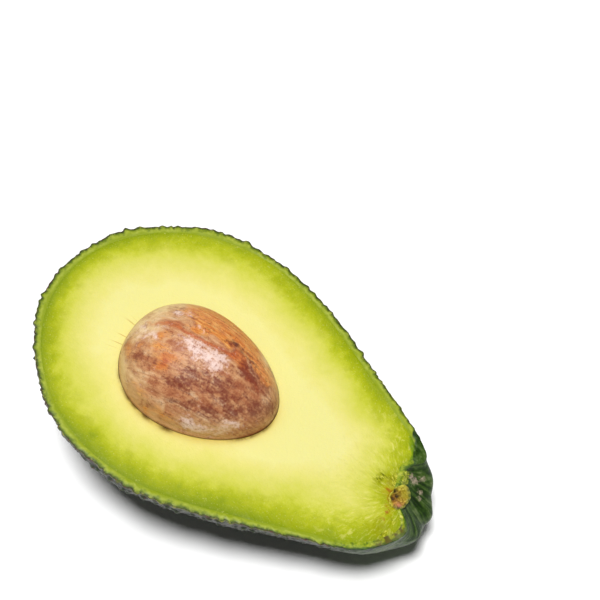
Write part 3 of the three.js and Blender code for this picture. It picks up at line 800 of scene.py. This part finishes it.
# Painted rim light over a tan colour: lighter round the stone's foot near the cut
low_tan_and_rim_light = stone.times(stone.tone("low"), stone.stretch(blots, 0.36, 0.56, 0.15, 1))
coat = stone.blend(low_tan_and_rim_light, coat, srgb(222, 173, 122))
coat = stone.blend(stone.tone("coat_line"), coat, srgb(130, 46, 10))
scuff = stone.bump(streaks, 0.35, strength=0.5)
stone_finish = stone.surface(
    Base_Color=coat, Roughness=stone.stretch(freckles, 0.3, 0.7, 0.36, 0.56), IOR=1.45,
    Normal=stone.bump(stone.plus(dust, freckles), 0.12, scuff, 0.6),
)
make_piece("seed_stone", stone_points, stone_faces, [], stone_tones, "stone", stone_finish)


# Stalk's remains: a plug of brown cork, dry and pitted, that the knife went through with the
# fruit. It sits in the flesh and the peel at the dimple, where it grew.
plug_cells, plug_depth, skirt_depth, flare, taper = 44, 2.6, 0.12, 1.12, 0.98
rim_height, sink, pit_depth, lump_height = 0.06, 0.35, 1.1, 0.35
plug_points, plug_faces, bowl_numbers = closed_bowl(plug_cells, 0)
plug_points *= [*plug_half_width, plug_depth]
in_top = np.arange(len(plug_points)) >= bowl_numbers.size
in_top[edge_of(bowl_numbers)] = True

# Its outline is drawn out or in until it keeps to the uneven reach, and its top spreads a little
outline = plug_points[:, :2]
for _ in range(4):
    stretched = np.hypot(*(outline / plug_half_width).T)
    stretched /= np.maximum(plug_reach(outline + plug_middle), 1e-6)
    outline = plug_points[:, :2] * np.where(stretched > 0, stretched, 1)[:, None]
plug_points[:, :2] = outline * np.where(in_top, flare, taper)[:, None]
plug_points += [*plug_middle, 0.0]
flat_plug = plug_points * [1, 1, 0]
along, across = (plug_points[:, :2] - plug_middle).T
pits = near(flat_plug, (43.5, 2.1, 0, 0.55), (44.5, 1.6, 0, 0.6), (44.1, 0.5, 0, 0.5))
lumps = near(flat_plug, (45.8, -0.5, 0, 0.9), (43.9, -0.7, 0, 0.6))
crumbs = 0.16 * np.sin(4.1 * along + 2 * np.sin(3 * across)) + 0.14 * np.sin(5.3 * across + 1.7 * along + 1)
crumbs += 0.08 * np.sin(11 * along - 7 * across)
from_rim = ramp(plug_reach(plug_points), 1.1, -0.4)
sunken = rim_height + from_rim * (crumbs - sink - pit_depth * pits + lump_height * lumps)
plug_points[:, 2] = np.where(in_top, sunken, np.minimum(plug_points[:, 2], -skirt_depth))
plug_tones = {
    "pits": pits * in_top,
    "fleshy": ramp(plug_reach(plug_points), 0.6, 0.5) * ramp(-along, -0.9, 1.6) * 0.95,
    "mossy": ramp(plug_reach(plug_points), 0.7, 0.35) * ramp(along, -0.6, 1.6) * 0.9,
    "yellow": near(flat_plug, (45.9, 2.9, 0, 1.5)) * 0.85,
    "rusty": near(flat_plug, (43.4, 0.2, 0, 1.2), (44.8, -0.9, 0, 0.9)) * 0.9,
    "rosy": near(flat_plug, (46.3, -0.5, 0, 0.8)) * 0.9,
}

cork = Finish("stalk cork")
crumb = cork.noise(1.5, 4, 0.65)
cork_colour = cork.stops(
    crumb, (0.3, (104, 66, 18)), (0.46, (160, 118, 30)), (0.58, (192, 158, 44)), (0.72, (228, 206, 116)),
)
cork_colour = cork.blend(cork.tone("yellow"), cork_colour, srgb(160, 150, 14))
rusted = cork.times(cork.tone("rusty"), cork.stretch(crumb, 0.35, 0.6, 0.5, 1))
cork_colour = cork.blend(rusted, cork_colour, srgb(172, 92, 24))
cork_colour = cork.blend(cork.tone("rosy"), cork_colour, srgb(196, 110, 96))
fleshy = cork.stops(crumb, (0.36, (128, 122, 8)), (0.48, (178, 172, 26)), (0.62, (212, 206, 72)))
cork_colour = cork.blend(cork.tone("fleshy"), cork_colour, fleshy)
mossy = cork.stops(crumb, (0.36, (40, 58, 8)), (0.5, (84, 100, 18)), (0.64, (140, 140, 40)))
cork_colour = cork.blend(cork.tone("mossy"), cork_colour, mossy)
# The pits are painted near black: painted shade in them over the cork's brown
cork_colour = cork.blend(cork.tone("pits"), cork_colour, srgb(40, 24, 10))
cork_finish = cork.surface(Base_Color=cork_colour, Roughness=0.62, Normal=cork.bump(crumb, 0.4, strength=0.8))
make_piece("stalk_plug", plug_points, plug_faces, [], plug_tones, "stem_plug", cork_finish)


# Floor: a wide plain white sheet, matt all over, that the half rests on. It lies under the row
# frame's origin, and it isn't part of the object.
floor_reach = 4.0
corners = [(x * floor_reach, y * floor_reach, 0) for x, y in ((-1, -1), (1, -1), (1, 1), (-1, 1))]
floor_mesh = bpy.data.meshes.new("floor")
floor_mesh.from_pydata(corners, [], [(0, 1, 2, 3)])
floor = bpy.data.objects.new("floor", floor_mesh)
bpy.context.scene.collection.objects.link(floor)
sheet = Finish("plain white floor")
floor_mesh.materials.append(sheet.surface(Base_Color=(1.0, 1.0, 1.0, 1.0), Roughness=0.9, Specular_IOR_Level=0.0))


# Studio light: a broad light overhead, like a window in the ceiling, and a weak one behind that lays
# the wet sheen. The room is plain white to look at, and adds only a little light of its own.
room_light = 0.06
world = bpy.data.worlds.new("plain white room")
world.use_nodes = True
nodes, links = world.node_tree.nodes, world.node_tree.links
seen = nodes.new("ShaderNodeLightPath").outputs["Is Camera Ray"]
glow = nodes.new("ShaderNodeMapRange")
glow.inputs["To Min"].default_value = room_light
links.new(seen, glow.inputs["Value"])
links.new(glow.outputs[0], nodes["Background"].inputs["Strength"])
nodes["Background"].inputs["Color"].default_value = (1.0, 1.0, 1.0, 1.0)
bpy.context.scene.world = world
bpy.context.scene.view_settings.view_transform = "Standard"

for name, place, energy, width in (
    ("light overhead", (0.039, -0.091, 0.79), 3.2, 14), ("weak light behind", (-0.09, 0.34, 0.86), 0.33, 12),
):
    lamp = bpy.data.lights.new(name, "SUN")
    lamp.energy, lamp.angle = energy, np.radians(width)
    light = bpy.data.objects.new(name, lamp)
    light.location = place
    light.rotation_mode = "QUATERNION"
    light.rotation_quaternion = Vector(place).to_track_quat("Z", "Y")
    bpy.context.scene.collection.objects.link(light)


# Camera: over the near side and about 60 degrees up, so that it sees the cut face as the photo
# does. Its right and up directions are given, and it looks along the way square to both.
camera = bpy.data.objects.new("camera", bpy.data.cameras.new("camera"))
camera.data.lens, camera.data.sensor_width = 92.606, 36.0
camera.data.clip_start, camera.data.clip_end = 0.02, 20.0
right = Vector((0.82442, 0.5646, -0.03804))
up = Vector((-0.47019, 0.7208, 0.50939))
camera.matrix_world = Matrix((right, up, right.cross(up))).transposed().to_4x4()
camera.location = (0.12293, -0.11895, 0.3429)
bpy.context.scene.collection.objects.link(camera)
bpy.context.scene.camera = camera
